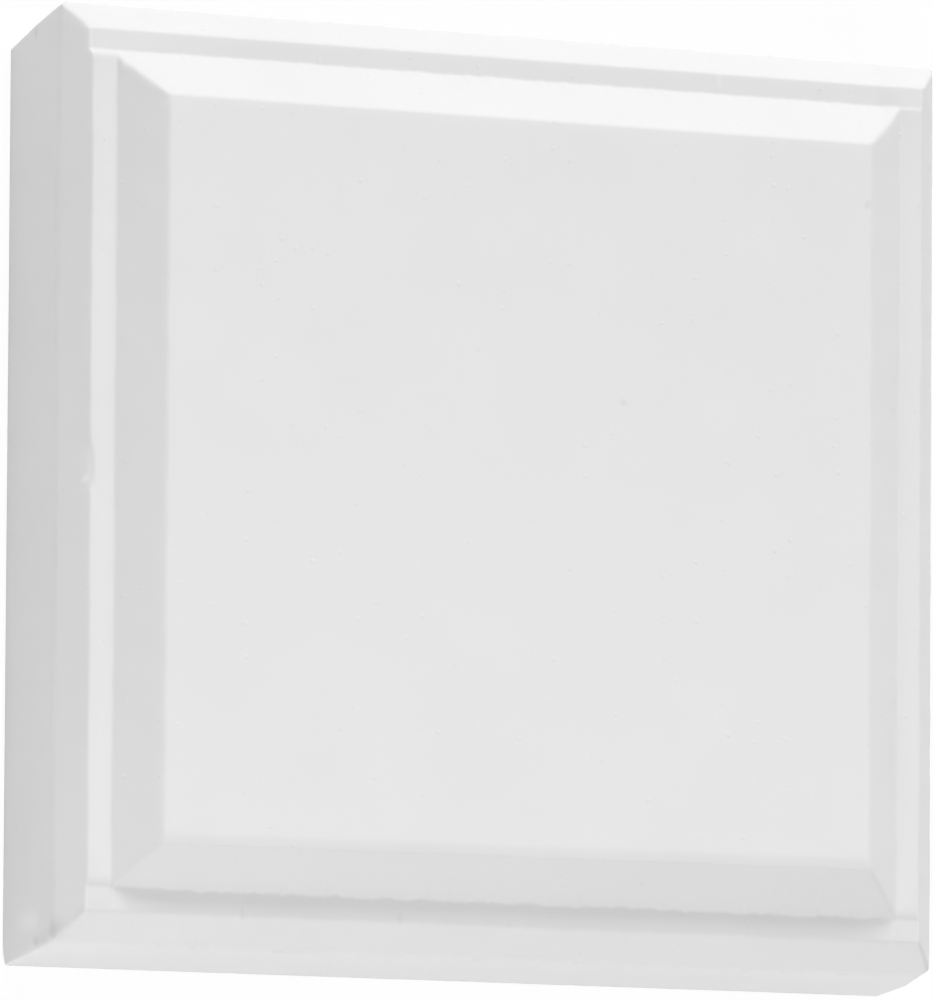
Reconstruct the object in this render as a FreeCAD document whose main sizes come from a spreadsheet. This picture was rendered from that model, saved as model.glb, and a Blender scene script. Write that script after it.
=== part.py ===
import FreeCAD, Part
import math
import os

import Sketcher

# Corner rosette block for a door or window casing: one solid of painted wood, in millimetres.
# It lies on its back. The origin is the middle of the back face, +Z points out of the front,
# +X to the right and +Y up the wall.
# Each edge of the front is shaped by one straight pass: a bevel down from the raised panel,
# a flat border and an outer chamfer. The top and bottom passes run a little deeper than the
# side passes, so a small step crosses the borders at each corner.

NODE = "corner_block"

# Driving sizes: name, millimetres, meaning
SIZES = [
    ("block_width", 88.9, "across the wall"),
    ("block_height", 88.9, "up the wall"),
    ("block_thickness", 22.2, "back face to raised panel"),
    ("border_drop", 3.1, "panel down to the side borders"),
    ("cross_extra", 0.4, "extra depth of the top and bottom passes"),
    ("chamfer_drop", 3.2, "border down to the top of the side face"),
    ("side_chamfer", 2.5, "chamfer width, left and right"),
    ("side_border", 2.35, "border width, left and right"),
    ("side_bevel", 4.1, "bevel width, left and right"),
    ("end_chamfer", 2.8, "chamfer width, top and bottom"),
    ("end_border", 2.05, "border width, top and bottom"),
    ("end_bevel", 4.4, "bevel width, top and bottom"),
    ("panel_round", 0.6, "radius between panel and bevel"),
    ("border_round", 0.4, "radius between border and chamfer"),
    ("side_round", 0.6, "radius between chamfer and side face"),
    ("corner_round", 0.8, "radius of the four upright corners"),
]

# Sketch point positions: start or end of a line or arc, or a point by itself
START = 1
END = 2
ORIGIN = (-1, START)

doc = FreeCAD.newDocument("corner_block_model")
sheet = doc.addObject("Spreadsheet::Sheet", "sizes")
for row, (alias, value, meaning) in enumerate(SIZES, start=1):
    sheet.set("A%d" % row, meaning)
    sheet.set("B%d" % row, str(value))
    sheet.setAlias("B%d" % row, alias)
doc.recompute()

body = doc.addObject("PartDesign::Body", "block")
body.Label = NODE


def origin_plane(role):
    return next(part for part in body.Origin.OriginFeatures if part.Role == role)


def vector(point):
    return FreeCAD.Vector(point[0], point[1], 0)


class Profile:
    """A sketch on one of the body's origin planes, held by sheet-driven rules."""

    def __init__(self, name, role):
        self.sketch = body.newObject("Sketcher::SketchObject", name)
        self.sketch.AttachmentSupport = [(origin_plane(role), "")]
        self.sketch.MapMode = "FlatFace"

    def line(self, start, end):
        return self.sketch.addGeometry(Part.LineSegment(vector(start), vector(end)), False)

    def arc(self, centre, radius, first_angle, last_angle):
        circle = Part.Circle(vector(centre), FreeCAD.Vector(0, 0, 1), radius)
        return self.sketch.addGeometry(Part.ArcOfCircle(circle, first_angle, last_angle), False)

    def mark(self, point):
        return self.sketch.addGeometry(Part.Point(vector(point)), True)

    def rule(self, kind, *terms):
        return self.sketch.addConstraint(Sketcher.Constraint(kind, *terms))

    def measure(self, kind, name, value, expression, *terms):
        index = self.rule(kind, *terms, value)
        self.sketch.renameConstraint(index, name)
        self.sketch.setExpression("Constraints." + name, expression)

    def place(self, name, geometry, position, across=None, up=None):
        """Hold a point at sheet-driven distances from the origin."""
        point = self.sketch.getPoint(geometry, position)
        if across:
            self.measure("DistanceX", name + "_across", point.x, across, *ORIGIN, geometry, position)
        if up:
            self.measure("DistanceY", name + "_up", point.y, up, *ORIGIN, geometry, position)


def draw_outline():
    """Square of the block seen from the front, with eased corners, centred on the origin."""
    half_w = sheet.block_width / 2
    half_h = sheet.block_height / 2
    ease = sheet.corner_round
    profile = Profile("outline", "XY_Plane")
    bottom = profile.line((ease - half_w, -half_h), (half_w - ease, -half_h))
    right = profile.line((half_w, ease - half_h), (half_w, half_h - ease))
    top = profile.line((half_w - ease, half_h), (ease - half_w, half_h))
    left = profile.line((-half_w, half_h - ease), (-half_w, ease - half_h))
    sides = [bottom, right, top, left]
    centres = [
        (half_w - ease, ease - half_h),
        (half_w - ease, half_h - ease),
        (ease - half_w, half_h - ease),
        (ease - half_w, ease - half_h),
    ]
    arcs = []
    for turn, centre in enumerate(centres):
        first_angle = (turn - 1) * math.pi / 2
        arcs.append(profile.arc(centre, ease, first_angle, first_angle + math.pi / 2))
    for turn, arc in enumerate(arcs):
        profile.rule("Tangent", sides[turn], END, arc, START)
        profile.rule("Tangent", arc, END, sides[(turn + 1) % len(sides)], START)
    for level in (bottom, top):
        profile.rule("Horizontal", level)
    for upright in (right, left):
        profile.rule("Vertical", upright)
    for arc in arcs[1:]:
        profile.rule("Equal", arcs[0], arc)
    profile.measure("Radius", "corner", ease, "sizes.corner_round", arcs[0])
    profile.place("right", right, START, across="sizes.block_width / 2")
    profile.place("left", left, START, across="-sizes.block_width / 2")
    profile.place("top", top, START, up="sizes.block_height / 2")
    profile.place("bottom", bottom, START, up="-sizes.block_height / 2")
    return profile.sketch


def draw_pass(name, role, span, kind, level):
    """Wood taken off along one edge, drawn across the pass: distance from the middle, height.

    span names the block's size across the pass, kind is the sheet prefix of the pass's widths,
    and level is the height of its border. The cut runs past the block by the chamfer's drop.
    """
    reach = sheet.chamfer_drop
    rim = "sizes.%s / 2" % span
    edge = "%s - sizes.%s_chamfer" % (rim, kind)
    foot = "%s - sizes.%s_border" % (edge, kind)
    brow = "%s - sizes.%s_bevel" % (foot, kind)
    shoulder = "%s - sizes.chamfer_drop" % level

    # Rough start points: the rules below settle the true ones
    rim_x = sheet.get(span) / 2
    edge_x = rim_x - sheet.get(kind + "_chamfer")
    foot_x = edge_x - sheet.get(kind + "_border")
    brow_x = foot_x - sheet.get(kind + "_bevel")
    top_z = sheet.block_thickness
    level_z = top_z - sheet.border_drop
    shoulder_z = level_z - sheet.chamfer_drop
    bevel_angle = math.atan2(sheet.border_drop, foot_x - brow_x)
    chamfer_angle = math.atan2(sheet.chamfer_drop, rim_x - edge_x)
    upright = math.pi / 2

    profile = Profile(name, role)
    brow_r = sheet.panel_round
    edge_r = sheet.border_round
    side_r = sheet.side_round
    brow_arc = profile.arc((brow_x, top_z - brow_r), brow_r, upright - bevel_angle, upright)
    edge_arc = profile.arc((edge_x, level_z - edge_r), edge_r, upright - chamfer_angle, upright)
    side_arc = profile.arc((rim_x - side_r, shoulder_z), side_r, 0, upright - chamfer_angle)

    def point(geometry, position):
        found = profile.sketch.getPoint(geometry, position)
        return found.x, found.y

    bevel = profile.line(point(brow_arc, START), (foot_x, level_z))
    border = profile.line((foot_x, level_z), point(edge_arc, END))
    chamfer = profile.line(point(edge_arc, START), point(side_arc, END))
    shelf = profile.line(point(side_arc, START), (rim_x + reach, shoulder_z))
    outside = profile.line((rim_x + reach, shoulder_z), (rim_x + reach, top_z + reach))
    lid = profile.line((rim_x + reach, top_z + reach), (brow_x, top_z + reach))
    inside = profile.line((brow_x, top_z + reach), point(brow_arc, END))
    brow_mark = profile.mark((brow_x, top_z))
    edge_mark = profile.mark((edge_x, level_z))
    rim_mark = profile.mark((rim_x, shoulder_z))

    profile.rule("Tangent", brow_arc, START, bevel, START)
    profile.rule("Coincident", bevel, END, border, START)
    profile.rule("Tangent", border, END, edge_arc, END)
    profile.rule("Tangent", edge_arc, START, chamfer, START)
    profile.rule("Tangent", chamfer, END, side_arc, END)
    profile.rule("Perpendicular", side_arc, START, shelf, START)
    profile.rule("Coincident", shelf, END, outside, START)
    profile.rule("Coincident", outside, END, lid, START)
    profile.rule("Coincident", lid, END, inside, START)
    profile.rule("Perpendicular", inside, END, brow_arc, END)
    for flat in (border, shelf, lid):
        profile.rule("Horizontal", flat)
    for wall in (outside, inside):
        profile.rule("Vertical", wall)
    profile.rule("PointOnObject", brow_mark, START, bevel)
    profile.rule("PointOnObject", edge_mark, START, chamfer)
    profile.rule("PointOnObject", rim_mark, START, chamfer)

    profile.measure("Radius", "brow_radius", brow_r, "sizes.panel_round", brow_arc)
    profile.measure("Radius", "edge_radius", edge_r, "sizes.border_round", edge_arc)
    profile.measure("Radius", "side_radius", side_r, "sizes.side_round", side_arc)
    profile.place("brow", brow_mark, START, brow, "sizes.block_thickness")
    profile.place("edge", edge_mark, START, edge, level)
    profile.place("rim", rim_mark, START, rim, shoulder)
    profile.place("foot", bevel, END, foot, level)
    profile.place("brow_arc", brow_arc, END, up="sizes.block_thickness")
    profile.place("side_arc", side_arc, START, across=rim)
    past_rim = rim + " + sizes.chamfer_drop"
    past_panel = "sizes.block_thickness + sizes.chamfer_drop"
    profile.place("lid", lid, START, past_rim, past_panel)
    return profile.sketch


def cut_both_edges(name, sketch, mirror_role):
    """Run a pass right through the block along one edge, then along the opposite edge."""
    before = body.Tip.Shape.Volume
    cut = body.newObject("PartDesign::Pocket", name)
    cut.Profile = sketch
    cut.Type = "ThroughAll"
    cut.SideType = "Symmetric"
    doc.recompute()
    one_edge = cut.Shape.Volume
    opposite = body.newObject("PartDesign::Mirrored", name + "_opposite")
    opposite.Originals = [cut]
    opposite.MirrorPlane = (origin_plane(mirror_role), [""])
    body.Tip = opposite
    doc.recompute()
    if not before > one_edge > opposite.Shape.Volume:
        raise RuntimeError("a pass took nothing off: " + name)


blank = body.newObject("PartDesign::Pad", "blank")
blank.Profile = draw_outline()
blank.setExpression("Length", "sizes.block_thickness")
doc.recompute()

SIDE_LEVEL = "sizes.block_thickness - sizes.border_drop"
CROSS_LEVEL = SIDE_LEVEL + " - sizes.cross_extra"
cross_profile = draw_pass("cross_profile", "YZ_Plane", "block_height", "end", CROSS_LEVEL)
cut_both_edges("cross_pass", cross_profile, "XZ_Plane")
side_profile = draw_pass("side_profile", "XZ_Plane", "block_width", "side", SIDE_LEVEL)
cut_both_edges("side_pass", side_profile, "YZ_Plane")

# Nothing is written unless every feature and the finished solid are sound
doc.recompute()
for item in doc.Objects:
    if "Invalid" in item.State or "Error" in item.State:
        raise RuntimeError("feature failed: " + item.Name)
solid = body.Shape
if solid.isNull() or not solid.isValid():
    raise RuntimeError("the block is not a sound solid")
os.makedirs("parts", exist_ok=True)
solid.exportStep(os.path.join("parts", NODE + ".step"))
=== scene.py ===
import math

import bpy
import numpy as np
from mathutils import Matrix, Vector
from mathutils.bvhtree import BVHTree
from mathutils.geometry import delaunay_2d_cdt


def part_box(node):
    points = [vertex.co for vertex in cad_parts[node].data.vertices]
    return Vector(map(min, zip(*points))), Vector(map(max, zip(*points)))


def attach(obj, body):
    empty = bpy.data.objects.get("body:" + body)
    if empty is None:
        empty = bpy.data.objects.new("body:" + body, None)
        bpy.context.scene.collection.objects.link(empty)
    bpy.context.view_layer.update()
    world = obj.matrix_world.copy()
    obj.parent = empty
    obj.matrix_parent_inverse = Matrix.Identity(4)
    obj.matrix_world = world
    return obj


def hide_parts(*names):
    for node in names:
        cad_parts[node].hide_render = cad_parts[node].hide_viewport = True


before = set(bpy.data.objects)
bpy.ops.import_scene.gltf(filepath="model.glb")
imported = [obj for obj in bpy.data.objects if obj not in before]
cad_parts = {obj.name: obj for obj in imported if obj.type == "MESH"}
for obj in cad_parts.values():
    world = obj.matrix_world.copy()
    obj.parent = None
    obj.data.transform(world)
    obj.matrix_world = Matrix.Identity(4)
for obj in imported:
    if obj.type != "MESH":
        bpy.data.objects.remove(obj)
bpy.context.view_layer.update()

# White painted corner block lying on its back, seen from above and from its lower left.
# The frame is in metres. Lengths below are in millimetres unless a comment says otherwise.

NODE = "corner_block"
MM = 0.001

IMAGE_WIDTH = 933
IMAGE_HEIGHT = 1000

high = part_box(NODE)[1]
HALF_X = high.x / MM
HALF_Y = high.y / MM
TOP = high.z / MM

# Camera: place and aim, roll in degrees, lens and sensor height, and clipping in metres
CAMERA_PLACE = Vector((-352.4, -158.2, 977.1))
CAMERA_AIM = Vector((-5.64, -1.755, 22.2))
CAMERA_ROLL = -0.198
CAMERA_LENS = 391.96
SENSOR = 36.0
CLIP_NEAR = 0.05
CLIP_FAR = 20.0

# Paint build-up: how much it softens edges, the mitre lines at the top and at the bottom, and the
# small steps across the borders at the bottom, with a blend between these two
PAINT_SOFTEN = 0.06
MITRE_SOFTEN = 0.15
LOWER_SOFTEN = 0.22
STEP_SOFTEN = 0.6
STEP_BLEND = 0.4

# Sanding: the lower edge of the panel is worn to a shallow flat, given by its slope, its reach into
# the panel and the rounding of its edges. The panel rolls over by a small drop towards its upper edge.
SANDED_SLOPE = 0.24
SANDED_REACH = 0.5
SANDED_SOFTEN = 0.03
ROLL_DROP = 0.05
ROLL_REACH = 0.7

# The tables below go by the signs of x and y at each upright corner.
# Wear of the corners: reach across and up at three depths, the rim, half way down and the back
EASE_DEPTHS = [0, 0.5, 1]
CORNER_EASE = {
    (-1, 1): ((0.8, 0.8), (0.3, 0.3), (0.3, 0.3)),
    (1, 1): ((0.7, 0.7), (0.5, 0.5), (0.5, 0.5)),
    (1, -1): ((1.4, 1.4), (0.3, 0.3), (0.8, 0.8)),
    (-1, -1): ((1.0, 1.0), (0.7, 1.9), (0.4, 2.8)),
}

# Rounding of the back edges
BACK_EASE = 0.35

# Paint that fills the small step across the side borders, how far it runs along the pass from
# the foot of the side bevel and past it, and the share left at the outer edge of the border
CORNER_FILL = {(-1, 1): 0.0, (1, 1): 0.32, (1, -1): 0.32, (-1, -1): 0.30}
FILL_REACH = 2.0
FILL_PAST = 0.4
FILL_OUTSIDE = 0.5

# Lean of the back against the rim: across and up
BACK_LEAN = {(-1, 1): (0.0, -1.8), (1, 1): (0.3, -0.5), (1, -1): (1.6, -0.3), (-1, -1): (0.0, -0.62)}

# Out of true: how far the moulding's edges stand from the square drawing, in the order
# rim, edge, foot, brow, brow, foot, edge, rim: across from the left, up from the bottom
ACROSS_AT_BOTTOM = [0.28, 0.0, 0.05, 0.17, -0.40, -0.36, -0.32, -0.38]
ACROSS_AT_TOP = [0.20, -0.15, 0.05, 0.19, 0.18, 0.28, 0.30, 0.25]
UP_AT_LEFT = [-0.20, -0.30, 0.0, -0.32, 0.0, 0.20, 0.16, 0.29]
UP_AT_RIGHT = [0.14, 0.20, 0.32, 0.58, 0.0, 0.10, 0.10, 0.03]

# Torn grain: the edges of the passes across the grain wander by these depths over these lengths.
# They wander in full at the foot of the lower bevel, and by a share of that elsewhere, on the
# upper half and across the side borders.
TEARS = [(2.2, 0.06), (0.9, 0.09), (0.42, 0.13)]
TEAR_ACROSS = 1.8
TEAR_REACH = 0.7
OTHER_SHARE = 0.15
UPPER_SHARE = 0.4
BORDER_SHARE = 0.3

# The passes along the grain only waver, with a faint chatter, and the whole front swells by these
# depths over these lengths. The seeds keep the noise the same on every run.
WAVER = 0.04
WAVER_ALONG = 9.0
CHATTER = 0.05
CHATTER_ALONG = 2.2
SWELLS = [(14.0, 0.008), (3.5, 0.006)]
SEED = 7
WAVER_SEED = SEED + 10
CHATTER_SEED = SEED + 11
SWELL_SEED = SEED + 12

# Marks in the paint by their pixel in the photograph: x, y, radius, depth, soil
# A negative depth stands proud. Soil is the share of light that the mark takes, and negative
# soil is a lighter spot, which on the proud marks is a painted highlight.
MARKS = [
    (623, 403, 0.42, 0.020, 0.10),
    (477, 352, 0.30, 0.024, 0.02),
    (403, 148, 0.28, 0.022, 0.02),
    (453, 198, 0.26, 0.022, 0.02),
    (694, 182, 0.28, 0.024, 0.03),
    (868, 205, 0.50, 0.050, 0.12),
    (780, 297, 0.26, 0.020, 0.01),
    (421, 731, 0.28, 0.022, 0.02),
    (590, 757, 0.26, 0.020, 0.01),
    (806, 796, 0.28, 0.020, 0.02),
    (698, 838, 0.28, 0.020, 0.02),
    # Proud nibs on the left chamfer, lighter by a painted highlight
    (84, 479, 0.26, -0.06, -0.10),
    (87, 478, 0.28, -0.06, -0.10),
    (91, 491, 0.28, -0.06, -0.10),
    (908, 518, 0.26, 0.03, 0.03),
    (509, 925, 0.32, 0.04, 0.06),
    (857, 948, 0.24, 0.03, 0.03),
    (857, 960, 0.24, 0.03, 0.03),
    (52, 931, 1.20, 0.00, 0.07),
    (95, 911, 1.10, 0.08, 0.00),
    (104, 40, 1.80, 0.00, -0.02),
    # Proud paint at the top left apex, lighter by a painted highlight
    (124, 65, 0.90, -0.10, -0.04),
    (35, 942, 0.80, 0.00, 0.10),
    (44, 940, 0.90, 0.00, 0.13),
    (80, 911, 0.30, 0.06, 0.05),
    (76, 917, 0.36, 0.06, 0.07),
    (68, 926, 0.36, 0.06, 0.05),
    (817, 92, 0.26, 0.03, 0.08),
    (819, 94, 0.26, 0.03, 0.06),
    (829, 79, 0.30, 0.05, 0.03),
]

# Scratches, worn edges and smudges, each a straight row of marks: first pixel, last pixel, then
# radius, depth and soil of each mark. The step is in pixels.
SCRATCHES = [
    ((782, 737), (789, 741), 0.20, -0.025, 0.0),
    # Proud ridges, the next four lighter by a painted highlight
    ((126, 699), (134, 708), 0.20, -0.03, -0.02),
    ((116, 813), (121, 818), 0.20, -0.03, -0.02),
    ((153, 117), (159, 116), 0.20, -0.03, -0.02),
    ((164, 102), (164, 107), 0.20, -0.03, -0.02),
    ((36, 27), (36, 35), 0.24, 0.10, 0.20),
    ((58, 9), (90, 26), 0.80, 0.035, 0.0),
    # Painted shade: a faint darker band down the upper left rim
    ((58, 26), (58, 130), 0.45, 0.0, 0.012),
    # A proud streak, lighter by a painted highlight
    ((717, 76), (719, 90), 0.40, -0.03, -0.012),
    ((90, 446), (90, 484), 0.60, 0.055, 0.0),
    ((242, 908), (243, 919), 0.28, 0.02, 0.035),
    ((400, 914), (400, 922), 0.28, 0.02, 0.035),
    ((33, 943), (47, 940), 1.00, 0.0, 0.045),
    ((20, 921), (36, 921), 1.60, 0.0, -0.03),
    ((49, 929), (58, 928), 1.60, 0.0, 0.025),
]
SCRATCH_STEP = 2.0

# Share of a mark's radius over which it fades
MARK_SPREAD = 0.6

# Painted shade along the back edges, darker towards the back where the block meets the floor: the light it
# takes, and its height
BACK_EDGE_SHADE = 0.09
BACK_SHADE_HEIGHT = 1.0

# Painted shade on the side borders and the upper one, darker in these recessed flats: the light it takes, and
# its soft margin
BORDER_SHADE = 0.03
BORDER_FADE = 0.15

# Mesh: depth of the finely meshed moulding, spacing over its flats and near its edges, close lines
# inwards from the rim and to both sides of the sanded arris, spacing along the moulding's top and
# its sides, and over the panel. Side faces have even rows, and more at shares of their depth.
ZONE = 10.2
FLAT_STEP = 0.3
EDGE_STEP = 0.12
EDGE_REACH = 0.5
RIM_LINES = [0.0, 0.015, 0.05, 0.1, 0.17, 0.26]
ARRIS_LINES = [-0.09, -0.045, 0.0, 0.045, 0.09]
ALONG_STEP_X = 0.21
ALONG_STEP_Y = 0.55
PANEL_STEP = 1.5
WALL_ROWS = 9
EXTRA_ROWS = [0.28, 0.37, 0.41, 0.465, 0.48, 0.49, 0.51, 0.525, 0.975]

# Rings of points round a mark on the panel: size as a share of the mark's radius, and count.
# The panel's other points keep clear of a mark by a number of its radii.
SPOT_RINGS = [(0.35, 6), (0.7, 10), (1.1, 14), (1.7, 16), (2.5, 16)]
SPOT_CLEARANCE = 3

# Settings of the flat filling: only the inside is meshed, and points this near are one
FILL_INSIDE = 1
FILL_MERGE = 1e-6

# A point this near the panel's height is on the panel
PANEL_WITHIN = 0.1


# Camera
def aim_camera():
    data = bpy.data.cameras.new("photo_camera")
    data.sensor_fit = "VERTICAL"
    data.sensor_height = SENSOR
    data.lens = CAMERA_LENS
    data.clip_start = CLIP_NEAR
    data.clip_end = CLIP_FAR
    camera = bpy.data.objects.new("photo_camera", data)
    bpy.context.scene.collection.objects.link(camera)
    back = (CAMERA_PLACE - CAMERA_AIM).normalized()
    right = Vector((0, 1, 0)).cross(back).normalized()
    up = back.cross(right)
    turn = Matrix((right, up, back)).transposed()
    roll = Matrix.Rotation(-math.radians(CAMERA_ROLL), 3, "Z")
    camera.matrix_world = Matrix.Translation(CAMERA_PLACE * MM) @ (turn @ roll).to_4x4()
    bpy.context.scene.camera = camera
    return camera


camera = aim_camera()


# Section of the moulding, read from the solid
def solid_tree(name):
    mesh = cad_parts[name].data
    corners = [v.co.copy() for v in mesh.vertices]
    faces = [tuple(p.vertices) for p in mesh.polygons]
    return BVHTree.FromPolygons(corners, faces)


def soft_min(a, b, width):
    """The lower of two heights, rounded over where they cross."""
    gap = np.clip(0.5 + 0.5 * (b - a) / width, 0, 1)
    return b * (1 - gap) + a * gap - width * gap * (1 - gap)


class Section:
    """Height of the front along one middle line of the block, and where its edges lie."""

    # Spacing of the readings, reach of the softening in widths, inset of the end readings, slope of
    # a level stretch, start of the rays above the front, and least depth of a border below the panel
    STEP = 0.02
    SPREAD = 4
    INSET = 0.002
    LEVEL_SLOPE = 0.02
    RAY_START = 10
    BORDER_BELOW = 1

    def __init__(self, tree, half, axis):
        reach = np.arange(-half, half + self.STEP / 2, self.STEP)
        self.reach = np.clip(reach, -half + self.INSET, half - self.INSET)
        heights = []
        for r in self.reach:
            place = Vector((0, 0, high.z + self.RAY_START * MM))
            place[axis] = r * MM
            heights.append(tree.ray_cast(place, Vector((0, 0, -1)))[0].z / MM)
        heights = np.array(heights)
        level = np.abs(np.gradient(heights, self.STEP)) < self.LEVEL_SLOPE
        border = self.reach[level & (heights < TOP - self.BORDER_BELOW) & (self.reach > 0)]
        panel = self.reach[level & (heights > TOP - PANEL_WITHIN)]
        self.rim = half
        self.edge = border.max()
        self.foot = border.min()
        self.brow = panel.max()
        self.shoulder = heights[0]
        self.heights = self.soften(heights, PAINT_SOFTEN)

    def soften(self, heights, width):
        steps = math.ceil(self.SPREAD * width / self.STEP)
        taps = np.arange(-steps, steps + 1) * self.STEP
        kernel = np.exp(-0.5 * (taps / width) ** 2)
        kernel /= kernel.sum()
        padded = np.pad(heights, steps, mode="reflect", reflect_type="odd")
        return np.convolve(padded, kernel, mode="valid")

    def sand_panel(self):
        """Wear the lower edge of the panel to a shallow flat, and roll the panel over at its upper edge."""
        flat = TOP + SANDED_SLOPE * (self.reach + self.brow - SANDED_REACH)
        self.arris = -self.reach[self.heights > flat].min()
        self.heights = soft_min(self.heights, flat, SANDED_SOFTEN)
        inside = np.clip(self.brow - self.reach, 0, None)
        self.heights -= ROLL_DROP * np.exp(-inside / ROLL_REACH)

    def height(self, across):
        return np.interp(across, self.reach, self.heights)


solid = solid_tree(NODE)
side = Section(solid, HALF_X, 0)
cross = Section(solid, HALF_Y, 1)
cross.sand_panel()


def edge_shift(section, place, first_end, last_end, share):
    """Shift of points between the moulding's edges, blended from one end of the edges to the other."""
    outwards = [section.brow, section.foot, section.edge, section.rim]
    edges = [-e for e in reversed(outwards)] + outwards
    return np.interp(place, edges, first_end) * (1 - share) + np.interp(place, edges, last_end) * share


def out_of_true(x, y, z):
    """How far the block's real surface stands from the drawing at a point: across and up."""
    right = (x + HALF_X) / (2 * HALF_X)
    top = (y + HALF_Y) / (2 * HALF_Y)
    across = edge_shift(side, x, ACROSS_AT_BOTTOM, ACROSS_AT_TOP, top)
    up = edge_shift(cross, y, UP_AT_LEFT, UP_AT_RIGHT, right)
    below_rim = np.interp(z, [0, cross.shoulder], [1, 0])
    for (sx, sy), (lean_across, lean_up) in BACK_LEAN.items():
        share = below_rim * (right if sx > 0 else 1 - right) * (top if sy > 0 else 1 - top)
        across = across + share * lean_across
        up = up + share * lean_up
    return across, up


# Smooth noise
NOISE_TABLE = 256


def smooth(share):
    """Ease a share between 0 and 1 in and out."""
    return share * share * (3 - 2 * share)


def value_noise(u, v, seed):
    """Smooth noise between -1 and 1 with one random value per whole step of u and v."""
    table = np.random.default_rng(seed).uniform(-1, 1, (NOISE_TABLE, NOISE_TABLE))
    iu = np.floor(u).astype(int)
    iv = np.floor(v).astype(int)
    fu = smooth(u - iu)
    fv = smooth(v - iv)

    def at(a, b):
        return table[a % NOISE_TABLE, b % NOISE_TABLE]

    near = at(iu, iv) * (1 - fu) + at(iu + 1, iv) * fu
    far = at(iu, iv + 1) * (1 - fu) + at(iu + 1, iv + 1) * fu
    return near * (1 - fv) + far * fv


def corner_fill(x, y):
    """Depth of the paint in the corners of the borders."""
    fill = 0
    for (sx, sy), depth in CORNER_FILL.items():
        over = smooth(np.interp(sx * x, [side.foot - FILL_REACH, side.foot + FILL_PAST], [0, 1]))
        along = np.interp(sy * y, [cross.brow, cross.foot, cross.edge, cross.rim], [0, 1, FILL_OUTSIDE, 0])
        fill = fill + depth * over * along
    return fill


def front_height(x, y):
    """Height of the painted front at points of the square drawing."""
    torn = 0
    for number, (length, depth) in enumerate(TEARS):
        torn = torn + depth * value_noise(x / length, y / TEAR_ACROSS, SEED + number)
    at_foot = np.exp(-(((np.abs(y) - cross.foot) / TEAR_REACH) ** 2))
    torn *= (OTHER_SHARE + (1 - OTHER_SHARE) * at_foot) * np.where(y > 0, UPPER_SHARE, 1)
    torn *= np.interp(np.abs(x), [side.foot - STEP_BLEND, side.foot], [1, BORDER_SHARE])
    waver = WAVER * value_noise(y / WAVER_ALONG, x / TEAR_ACROSS, WAVER_SEED)
    waver += CHATTER * value_noise(y / CHATTER_ALONG, x / TEAR_ACROSS, CHATTER_SEED)
    near_border = [side.foot - STEP_BLEND, side.foot, side.edge, side.edge + STEP_BLEND]
    lower = np.interp(np.abs(x), near_border, [LOWER_SOFTEN, STEP_SOFTEN, STEP_SOFTEN, LOWER_SOFTEN])
    at_bottom = np.interp(y, [-cross.brow, -cross.brow + ZONE], [1, 0])
    soften = MITRE_SOFTEN + (lower - MITRE_SOFTEN) * at_bottom
    along_grain = side.height(x + waver)
    across_grain = cross.height(y + torn) + corner_fill(x, y)
    height = soft_min(along_grain, across_grain, soften)
    for number, (length, depth) in enumerate(SWELLS):
        height = height + depth * value_noise(x / length, y / length, SWELL_SEED + number)
    return height


# Marks
MARK_TRIES = 4


def place_mark(px, py):
    """Point and normal of the drawing that show at a pixel once the block is out of true."""
    focal = CAMERA_LENS / SENSOR * IMAGE_HEIGHT
    ray = Vector((px - IMAGE_WIDTH / 2, IMAGE_HEIGHT / 2 - py, -focal))
    ray = (camera.matrix_world.to_3x3() @ ray).normalized()
    start = camera.matrix_world.translation
    shift = Vector((0, 0, 0))
    for _ in range(MARK_TRIES):
        hit, facing = solid.ray_cast(start - shift, ray)[:2]
        if hit is None:
            break
        point = hit / MM
        normal = facing
        shift = Vector((*out_of_true(*point), 0)) * MM
    return np.array(point), np.array(normal)


def all_marks():
    marks = []
    for px, py, radius, depth, soil_and_painted_light in MARKS:
        marks.append((*place_mark(px, py), radius, depth, soil_and_painted_light))
    for first, last, radius, depth, soil_and_painted_light in SCRATCHES:
        count = max(2, round(math.dist(first, last) / SCRATCH_STEP) + 1)
        for share in np.linspace(0, 1, count):
            px = first[0] + (last[0] - first[0]) * share
            py = first[1] + (last[1] - first[1]) * share
            marks.append((*place_mark(px, py), radius, depth, soil_and_painted_light))
    return marks


marks = all_marks()


def border_shade(x, y, z):
    """Share of the painted shade that lies on the side borders and on the upper one."""

    def within(section, place):
        edges = [section.foot - BORDER_FADE, section.foot, section.edge, section.edge + BORDER_FADE]
        return np.interp(place, edges, [0, 1, 1, 0])

    on_side = within(side, np.abs(x)) * (np.abs(y) < cross.edge)
    on_upper = within(cross, y) * (np.abs(x) < side.edge)
    return np.maximum(on_side, on_upper) * (z > cross.shoulder)


# Mesh
def grid_lines(section, along_step, extra):
    """Lines over the front: close at the moulding's edges, wider over its flats and along the panel."""
    inwards = list(RIM_LINES)
    while inwards[-1] < ZONE:
        place = section.rim - inwards[-1]
        nearest = min(abs(place - edge) for edge in (section.brow, section.foot, section.edge))
        inwards.append(inwards[-1] + (EDGE_STEP if nearest < EDGE_REACH else FLAT_STEP))
    inner = section.rim - inwards.pop()
    count = round(2 * inner / along_step)
    panel = np.linspace(-inner, inner, count + 1)
    places = [section.rim - i for i in inwards]
    outer = [p for p in places if all(abs(p - e) > EDGE_STEP / 2 for e in extra)]
    outer = np.sort(np.concatenate([outer, extra]))
    return np.concatenate([-outer[::-1], panel, outer]), len(outer)


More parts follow.
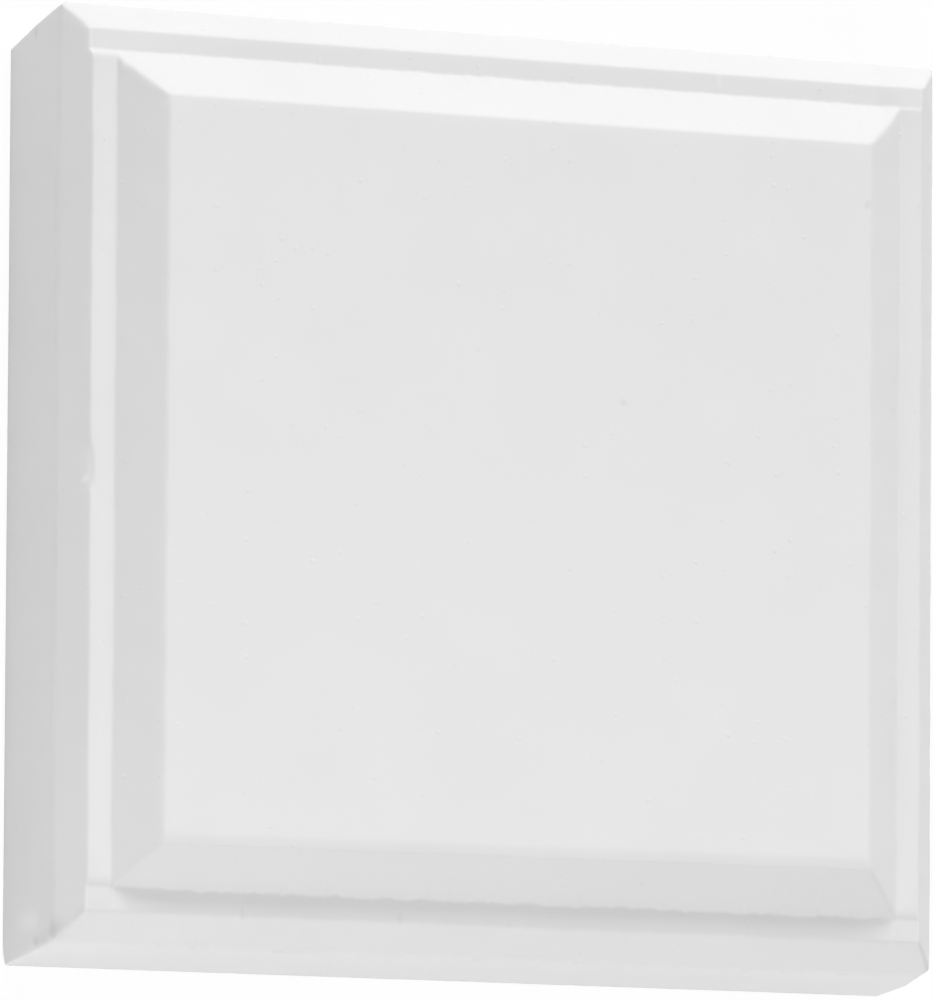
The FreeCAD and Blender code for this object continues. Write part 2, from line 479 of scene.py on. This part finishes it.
def round_corners(square, depth):
    """Pull square corners in to the block's worn ones, at a depth of 0 at the rim to 1 at the back."""
    plan = square.copy()
    for (sx, sy), eases in CORNER_EASE.items():
        ease_x, ease_y = (np.interp(depth, EASE_DEPTHS, reach) for reach in zip(*eases))
        a = (sx * square[:, 0] - HALF_X + ease_x) / ease_x
        b = (sy * square[:, 1] - HALF_Y + ease_y) / ease_y
        worn = (a > 0) & (b > 0)
        a = a[worn]
        b = b[worn]
        plan[worn, 0] = sx * (HALF_X - ease_x + ease_x * a * np.sqrt(1 - b * b / 2))
        plan[worn, 1] = sy * (HALF_Y - ease_y + ease_y * b * np.sqrt(1 - a * a / 2))
    return plan


def ring_of(index):
    """Border of a block of grid points, anticlockwise from its first corner."""
    return np.concatenate([index[:, 0], index[-1, 1:], index[-2::-1, -1], index[0, -2:0:-1]])


def fill_points(half_x, half_y, spots):
    """Points to mesh the inside of a flat: a staggered lattice, and rings round each spot."""
    points = []
    rows = np.arange(-half_y + PANEL_STEP, half_y - PANEL_STEP / 2, PANEL_STEP)
    for number, y in enumerate(rows):
        stagger = PANEL_STEP / 2 * (number % 2)
        for x in np.arange(-half_x + PANEL_STEP / 2 + stagger, half_x - PANEL_STEP / 2, PANEL_STEP):
            if all(math.dist((x, y), spot[:2]) > SPOT_CLEARANCE * spot[2] for spot in spots):
                points.append((x, y))
    for sx, sy, radius in spots:
        points.append((sx, sy))
        for size, count in SPOT_RINGS:
            for turn in np.linspace(0, 2 * math.pi, count, endpoint=False):
                points.append((sx + size * radius * math.cos(turn), sy + size * radius * math.sin(turn)))
    return points


def fill_ring(ring, points, inner):
    """Triangles from a ring of numbered points to new points inside it, counted on from the last."""
    corners = [Vector(points[i][:2]) for i in ring] + [Vector(p) for p in inner]
    numbers = list(ring) + list(range(len(points), len(points) + len(inner)))
    edges = [(i, (i + 1) % len(ring)) for i in range(len(ring))]
    made = delaunay_2d_cdt(corners, edges, [], FILL_INSIDE, FILL_MERGE)
    source = [numbers[first[0]] for first in made[3]]
    return [tuple(source[i] for i in face) for face in made[2]]


def build_block():
    lines_x, rim_x = grid_lines(side, ALONG_STEP_X, [])
    lines_y, rim_y = grid_lines(cross, ALONG_STEP_Y, [cross.arris + step for step in ARRIS_LINES])
    nx = len(lines_x)
    ny = len(lines_y)
    square = np.stack(np.meshgrid(lines_x, lines_y, indexing="ij"), axis=-1).reshape(-1, 2)

    # Moulding: grid cells outside the panel
    index = np.arange(nx * ny).reshape(nx, ny)
    panel = index[rim_x: nx - rim_x, rim_y: ny - rim_y]
    cells = np.stack([index[:-1, :-1], index[1:, :-1], index[1:, 1:], index[:-1, 1:]], axis=-1)
    kept = np.ones((nx - 1, ny - 1), bool)
    kept[rim_x: nx - 1 - rim_x, rim_y: ny - 1 - rim_y] = False
    used = np.ones((nx, ny), bool)
    used[rim_x + 1: nx - 1 - rim_x, rim_y + 1: ny - 1 - rim_y] = False
    renumber = np.cumsum(used.reshape(-1)) - 1
    polygons = [tuple(cell) for cell in renumber[cells[kept]].tolist()]
    plan = round_corners(square, 0)[used.reshape(-1)]

    # Panel
    spots = [(*m[0][:2], m[2]) for m in marks if m[0][2] > TOP - PANEL_WITHIN]
    inner = fill_points(lines_x[-rim_x - 1], lines_y[-rim_y - 1], spots)
    polygons += fill_ring(renumber[ring_of(panel)].tolist(), plan.tolist(), inner)
    plan = np.concatenate([plan, inner])
    front = np.column_stack([plan, front_height(plan[:, 0], plan[:, 1])])

    # Sides: rows of points below the rim, then the eased back edge
    ring = renumber[ring_of(index)]
    rim_height = front[ring, 2]
    rim_square = square[ring_of(index)]
    rows = []
    levels = np.sort(np.concatenate([np.linspace(0, 1, WALL_ROWS + 1)[1:], EXTRA_ROWS]))
    for level in levels:
        height = rim_height * (1 - level) + BACK_EASE * level
        rows.append(np.column_stack([round_corners(rim_square, level), height]))
    for turn in (math.pi / 4, math.pi / 2):
        inset = BACK_EASE * (1 - math.cos(turn))
        shrink = (1 - inset / HALF_X, 1 - inset / HALF_Y, 0)
        rise = (0, 0, BACK_EASE * (1 - math.sin(turn)))
        rows.append(rows[len(levels) - 1] * shrink + rise)
    count = len(front)
    rings = [ring] + [np.arange(count + i * len(ring), count + (i + 1) * len(ring)) for i in range(len(rows))]
    for upper, lower in zip(rings[:-1], rings[1:]):
        strip = np.stack([upper, lower, np.roll(lower, -1), np.roll(upper, -1)], axis=-1)
        polygons += [tuple(cell) for cell in strip.tolist()]
    points = np.concatenate([front] + rows)

    # Back
    behind = fill_points(HALF_X - PANEL_STEP, HALF_Y - PANEL_STEP, [])
    back_faces = fill_ring(rings[-1].tolist(), points.tolist(), behind)
    polygons += [face[::-1] for face in back_faces]
    points = np.concatenate([points, np.column_stack([behind, np.zeros(len(behind))])])

    # Marks, painted shade along the back edges and on the borders, then the whole block out of true
    soil_and_painted_light = BACK_EDGE_SHADE * np.clip(1 - points[:, 2] / BACK_SHADE_HEIGHT, 0, 1)
    soil_and_painted_light = soil_and_painted_light + BORDER_SHADE * border_shade(*points.T)
    for centre, normal, radius, depth, share in marks:
        spot = np.exp(-((points - centre) ** 2).sum(axis=1) / (MARK_SPREAD * radius) ** 2)
        points = points - spot[:, None] * depth * normal
        soil_and_painted_light = soil_and_painted_light + spot * share
    across, up = out_of_true(points[:, 0], points[:, 1], points[:, 2])
    points[:, 0] += across
    points[:, 1] += up

    mesh = bpy.data.meshes.new("painted_block")
    mesh.from_pydata((points * MM).tolist(), [], polygons)
    mesh.validate()
    layer = mesh.attributes.new("soil_and_painted_light", "FLOAT", "POINT")
    layer.data.foreach_set("value", soil_and_painted_light.astype(np.float32))
    mesh.polygons.foreach_set("use_smooth", np.ones(len(mesh.polygons), bool))
    mesh.update()
    block = bpy.data.objects.new("painted_block", mesh)
    bpy.context.scene.collection.objects.link(block)
    return block


block = build_block()
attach(block, "root")
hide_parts(NODE)


# Paint: gloss, clouds in its tint by their place in the noise and their shade, brushed grain
# drawn out up the block, and nibs, the bumps of grain and nibs each with a strength and a depth
PAINT_ROUGHNESS = 0.55
PAINT_SPECULAR = 0.3
CLOUD_SCALE = 90.0
CLOUD_DETAIL = 4.0
CLOUD_TINTS = [(0.3, 0.793), (0.7, 0.807)]
GRAIN_STRETCH = (1.0, 0.08, 1.0)
GRAIN_SCALE = 900.0
GRAIN_DETAIL = 3.0
GRAIN_STRENGTH = 0.07
GRAIN_DEPTH = 0.2
NIB_SCALE = 620.0
NIB_REACH = 0.19
NIB_FADE = 0.1
NIB_STRENGTH = 0.33
NIB_DEPTH = 0.1

# Floor: half its size in metres, its gap below the block, its shade under the lamps, and how much
# of the shadow shows. The rest of the floor and the backdrop are plain white.
FLOOR_SIZE = 3.0
FLOOR_GAP = 0.05
FLOOR_SHADE = 0.97
SHADOW_SHARE = 0.05
WHITE = (1, 1, 1, 1)
WHITE_LEVEL = 1.0


# Materials
def node_tree(name):
    material = bpy.data.materials.new(name)
    material.use_nodes = True
    tree = material.node_tree
    tree.nodes.clear()
    return material, tree


def paint_material():
    """White paint: faint tint clouds, soil and painted shade and highlights, brushed grain and small nibs."""
    material, tree = node_tree("white_paint")
    nodes = tree.nodes
    link = tree.links.new
    output = nodes.new("ShaderNodeOutputMaterial")
    shader = nodes.new("ShaderNodeBsdfPrincipled")
    link(shader.outputs["BSDF"], output.inputs["Surface"])
    shader.inputs["Roughness"].default_value = PAINT_ROUGHNESS
    shader.inputs["Specular IOR Level"].default_value = PAINT_SPECULAR
    place = nodes.new("ShaderNodeTexCoord")

    cloud = nodes.new("ShaderNodeTexNoise")
    cloud.inputs["Scale"].default_value = CLOUD_SCALE
    cloud.inputs["Detail"].default_value = CLOUD_DETAIL
    link(place.outputs["Object"], cloud.inputs["Vector"])
    tint = nodes.new("ShaderNodeValToRGB")
    for stop, (position, shade) in zip(tint.color_ramp.elements, CLOUD_TINTS):
        stop.position = position
        stop.color = (shade, shade, shade, 1)
    link(cloud.outputs["Fac"], tint.inputs["Fac"])

    # The attribute holds soil from the marks, painted shade and painted highlights
    soil_and_painted_light = nodes.new("ShaderNodeAttribute")
    soil_and_painted_light.attribute_name = "soil_and_painted_light"
    left_over = nodes.new("ShaderNodeMath")
    left_over.operation = "SUBTRACT"
    left_over.inputs[0].default_value = 1.0
    link(soil_and_painted_light.outputs["Fac"], left_over.inputs[1])
    soiled_and_shaded = nodes.new("ShaderNodeVectorMath")
    soiled_and_shaded.operation = "SCALE"
    link(tint.outputs["Color"], soiled_and_shaded.inputs["Vector"])
    link(left_over.outputs["Value"], soiled_and_shaded.inputs["Scale"])
    link(soiled_and_shaded.outputs["Vector"], shader.inputs["Base Color"])

    stretch = nodes.new("ShaderNodeMapping")
    stretch.inputs["Scale"].default_value = GRAIN_STRETCH
    link(place.outputs["Object"], stretch.inputs["Vector"])
    grain = nodes.new("ShaderNodeTexNoise")
    grain.inputs["Scale"].default_value = GRAIN_SCALE
    grain.inputs["Detail"].default_value = GRAIN_DETAIL
    link(stretch.outputs["Vector"], grain.inputs["Vector"])
    grain_bump = nodes.new("ShaderNodeBump")
    grain_bump.inputs["Strength"].default_value = GRAIN_STRENGTH
    grain_bump.inputs["Distance"].default_value = GRAIN_DEPTH * MM
    link(grain.outputs["Fac"], grain_bump.inputs["Height"])

    specks = nodes.new("ShaderNodeTexVoronoi")
    specks.inputs["Scale"].default_value = NIB_SCALE
    link(place.outputs["Object"], specks.inputs["Vector"])
    chance = nodes.new("ShaderNodeSeparateColor")
    link(specks.outputs["Color"], chance.inputs["Color"])
    reach = nodes.new("ShaderNodeMath")
    reach.operation = "MULTIPLY"
    reach.inputs[1].default_value = NIB_REACH
    link(chance.outputs["Red"], reach.inputs[0])
    below = nodes.new("ShaderNodeMath")
    below.operation = "SUBTRACT"
    link(reach.outputs["Value"], below.inputs[0])
    link(specks.outputs["Distance"], below.inputs[1])
    nibs = nodes.new("ShaderNodeMapRange")
    nibs.interpolation_type = "SMOOTHSTEP"
    nibs.inputs["From Min"].default_value = 0.0
    nibs.inputs["From Max"].default_value = NIB_FADE
    link(below.outputs["Value"], nibs.inputs["Value"])
    nib_bump = nodes.new("ShaderNodeBump")
    nib_bump.inputs["Strength"].default_value = NIB_STRENGTH
    nib_bump.inputs["Distance"].default_value = NIB_DEPTH * MM
    link(nibs.outputs["Result"], nib_bump.inputs["Height"])
    link(grain_bump.outputs["Normal"], nib_bump.inputs["Normal"])
    link(nib_bump.outputs["Normal"], shader.inputs["Normal"])
    return material


block.data.materials.append(paint_material())


def seen_directly(tree):
    """One for rays that show the background: from the camera, a reflection or through glass."""
    path = tree.nodes.new("ShaderNodeLightPath")
    total = path.outputs["Is Camera Ray"]
    for kind in ("Is Glossy Ray", "Is Transmission Ray"):
        plus = tree.nodes.new("ShaderNodeMath")
        plus.operation = "MAXIMUM"
        tree.links.new(total, plus.inputs[0])
        tree.links.new(path.outputs[kind], plus.inputs[1])
        total = plus.outputs["Value"]
    return total


def floor_material():
    """White floor that keeps a faint shadow of the block."""
    material, tree = node_tree("white_floor")
    nodes = tree.nodes
    link = tree.links.new
    output = nodes.new("ShaderNodeOutputMaterial")
    diffuse = nodes.new("ShaderNodeBsdfDiffuse")
    diffuse.inputs["Color"].default_value = (FLOOR_SHADE, FLOOR_SHADE, FLOOR_SHADE, 1)
    glow = nodes.new("ShaderNodeEmission")
    glow.inputs["Color"].default_value = WHITE
    glow.inputs["Strength"].default_value = WHITE_LEVEL
    share = nodes.new("ShaderNodeMath")
    share.operation = "MULTIPLY"
    share.inputs[1].default_value = 1 - SHADOW_SHARE
    link(seen_directly(tree), share.inputs[0])
    blend = nodes.new("ShaderNodeMixShader")
    link(share.outputs["Value"], blend.inputs["Fac"])
    link(diffuse.outputs["BSDF"], blend.inputs[1])
    link(glow.outputs["Emission"], blend.inputs[2])
    link(blend.outputs["Shader"], output.inputs["Surface"])
    return material


def build_floor():
    mesh = bpy.data.meshes.new("floor")
    low = -FLOOR_GAP * MM
    corners = [(sx * FLOOR_SIZE, sy * FLOOR_SIZE, low) for sx, sy in ((-1, -1), (1, -1), (1, 1), (-1, 1))]
    mesh.from_pydata(corners, [], [(0, 1, 2, 3)])
    floor = bpy.data.objects.new("floor", mesh)
    bpy.context.scene.collection.objects.link(floor)
    mesh.materials.append(floor_material())


build_floor()


# Even light from all round, and the lamps: name, azimuth and elevation in degrees, distance, width
# and height in metres, and level, what the lamp adds to a white face square to it
WORLD_LEVEL = 0.073
LAMPS = [
    ("key", 89, 24.5, 3.0, 3.0, 1.05, 0.93),
    ("right", 13, 36, 3.0, 1.1, 0.5, 0.245),
    ("front_left", -135, 26, 0.8, 0.4, 0.22, 0.272),
    ("low_fill", -90, 9, 0.8, 0.4, 0.13, 0.105),
    ("front", -90, 58, 0.8, 0.4, 0.22, 0.362),
]


def area_light(name, azimuth, elevation, distance, width, height, level):
    """A soft lamp aimed at the block."""
    data = bpy.data.lights.new(name, "AREA")
    data.shape = "RECTANGLE"
    data.size = width
    data.size_y = height
    data.energy = level * math.pi ** 2 * distance ** 2
    lamp = bpy.data.objects.new(name, data)
    bpy.context.scene.collection.objects.link(lamp)
    a = math.radians(azimuth)
    e = math.radians(elevation)
    towards = Vector((math.cos(a) * math.cos(e), math.sin(a) * math.cos(e), math.sin(e)))
    target = Vector((0, 0, TOP * MM))
    lamp.location = target + towards * distance
    lamp.rotation_euler = towards.to_track_quat("Z", "Y").to_euler()


def light_world():
    """Even light from all round, white where it is seen directly."""
    world = bpy.data.worlds.new("studio")
    bpy.context.scene.world = world
    world.use_nodes = True
    tree = world.node_tree
    tree.nodes.clear()
    output = tree.nodes.new("ShaderNodeOutputWorld")
    ambient = tree.nodes.new("ShaderNodeBackground")
    ambient.inputs["Color"].default_value = WHITE
    ambient.inputs["Strength"].default_value = WORLD_LEVEL
    backdrop = tree.nodes.new("ShaderNodeBackground")
    backdrop.inputs["Color"].default_value = WHITE
    backdrop.inputs["Strength"].default_value = WHITE_LEVEL
    blend = tree.nodes.new("ShaderNodeMixShader")
    tree.links.new(seen_directly(tree), blend.inputs["Fac"])
    tree.links.new(ambient.outputs["Background"], blend.inputs[1])
    tree.links.new(backdrop.outputs["Background"], blend.inputs[2])
    tree.links.new(blend.outputs["Shader"], output.inputs["Surface"])


for lamp in LAMPS:
    area_light(*lamp)
light_world()

bpy.context.scene.view_settings.view_transform = "Standard"
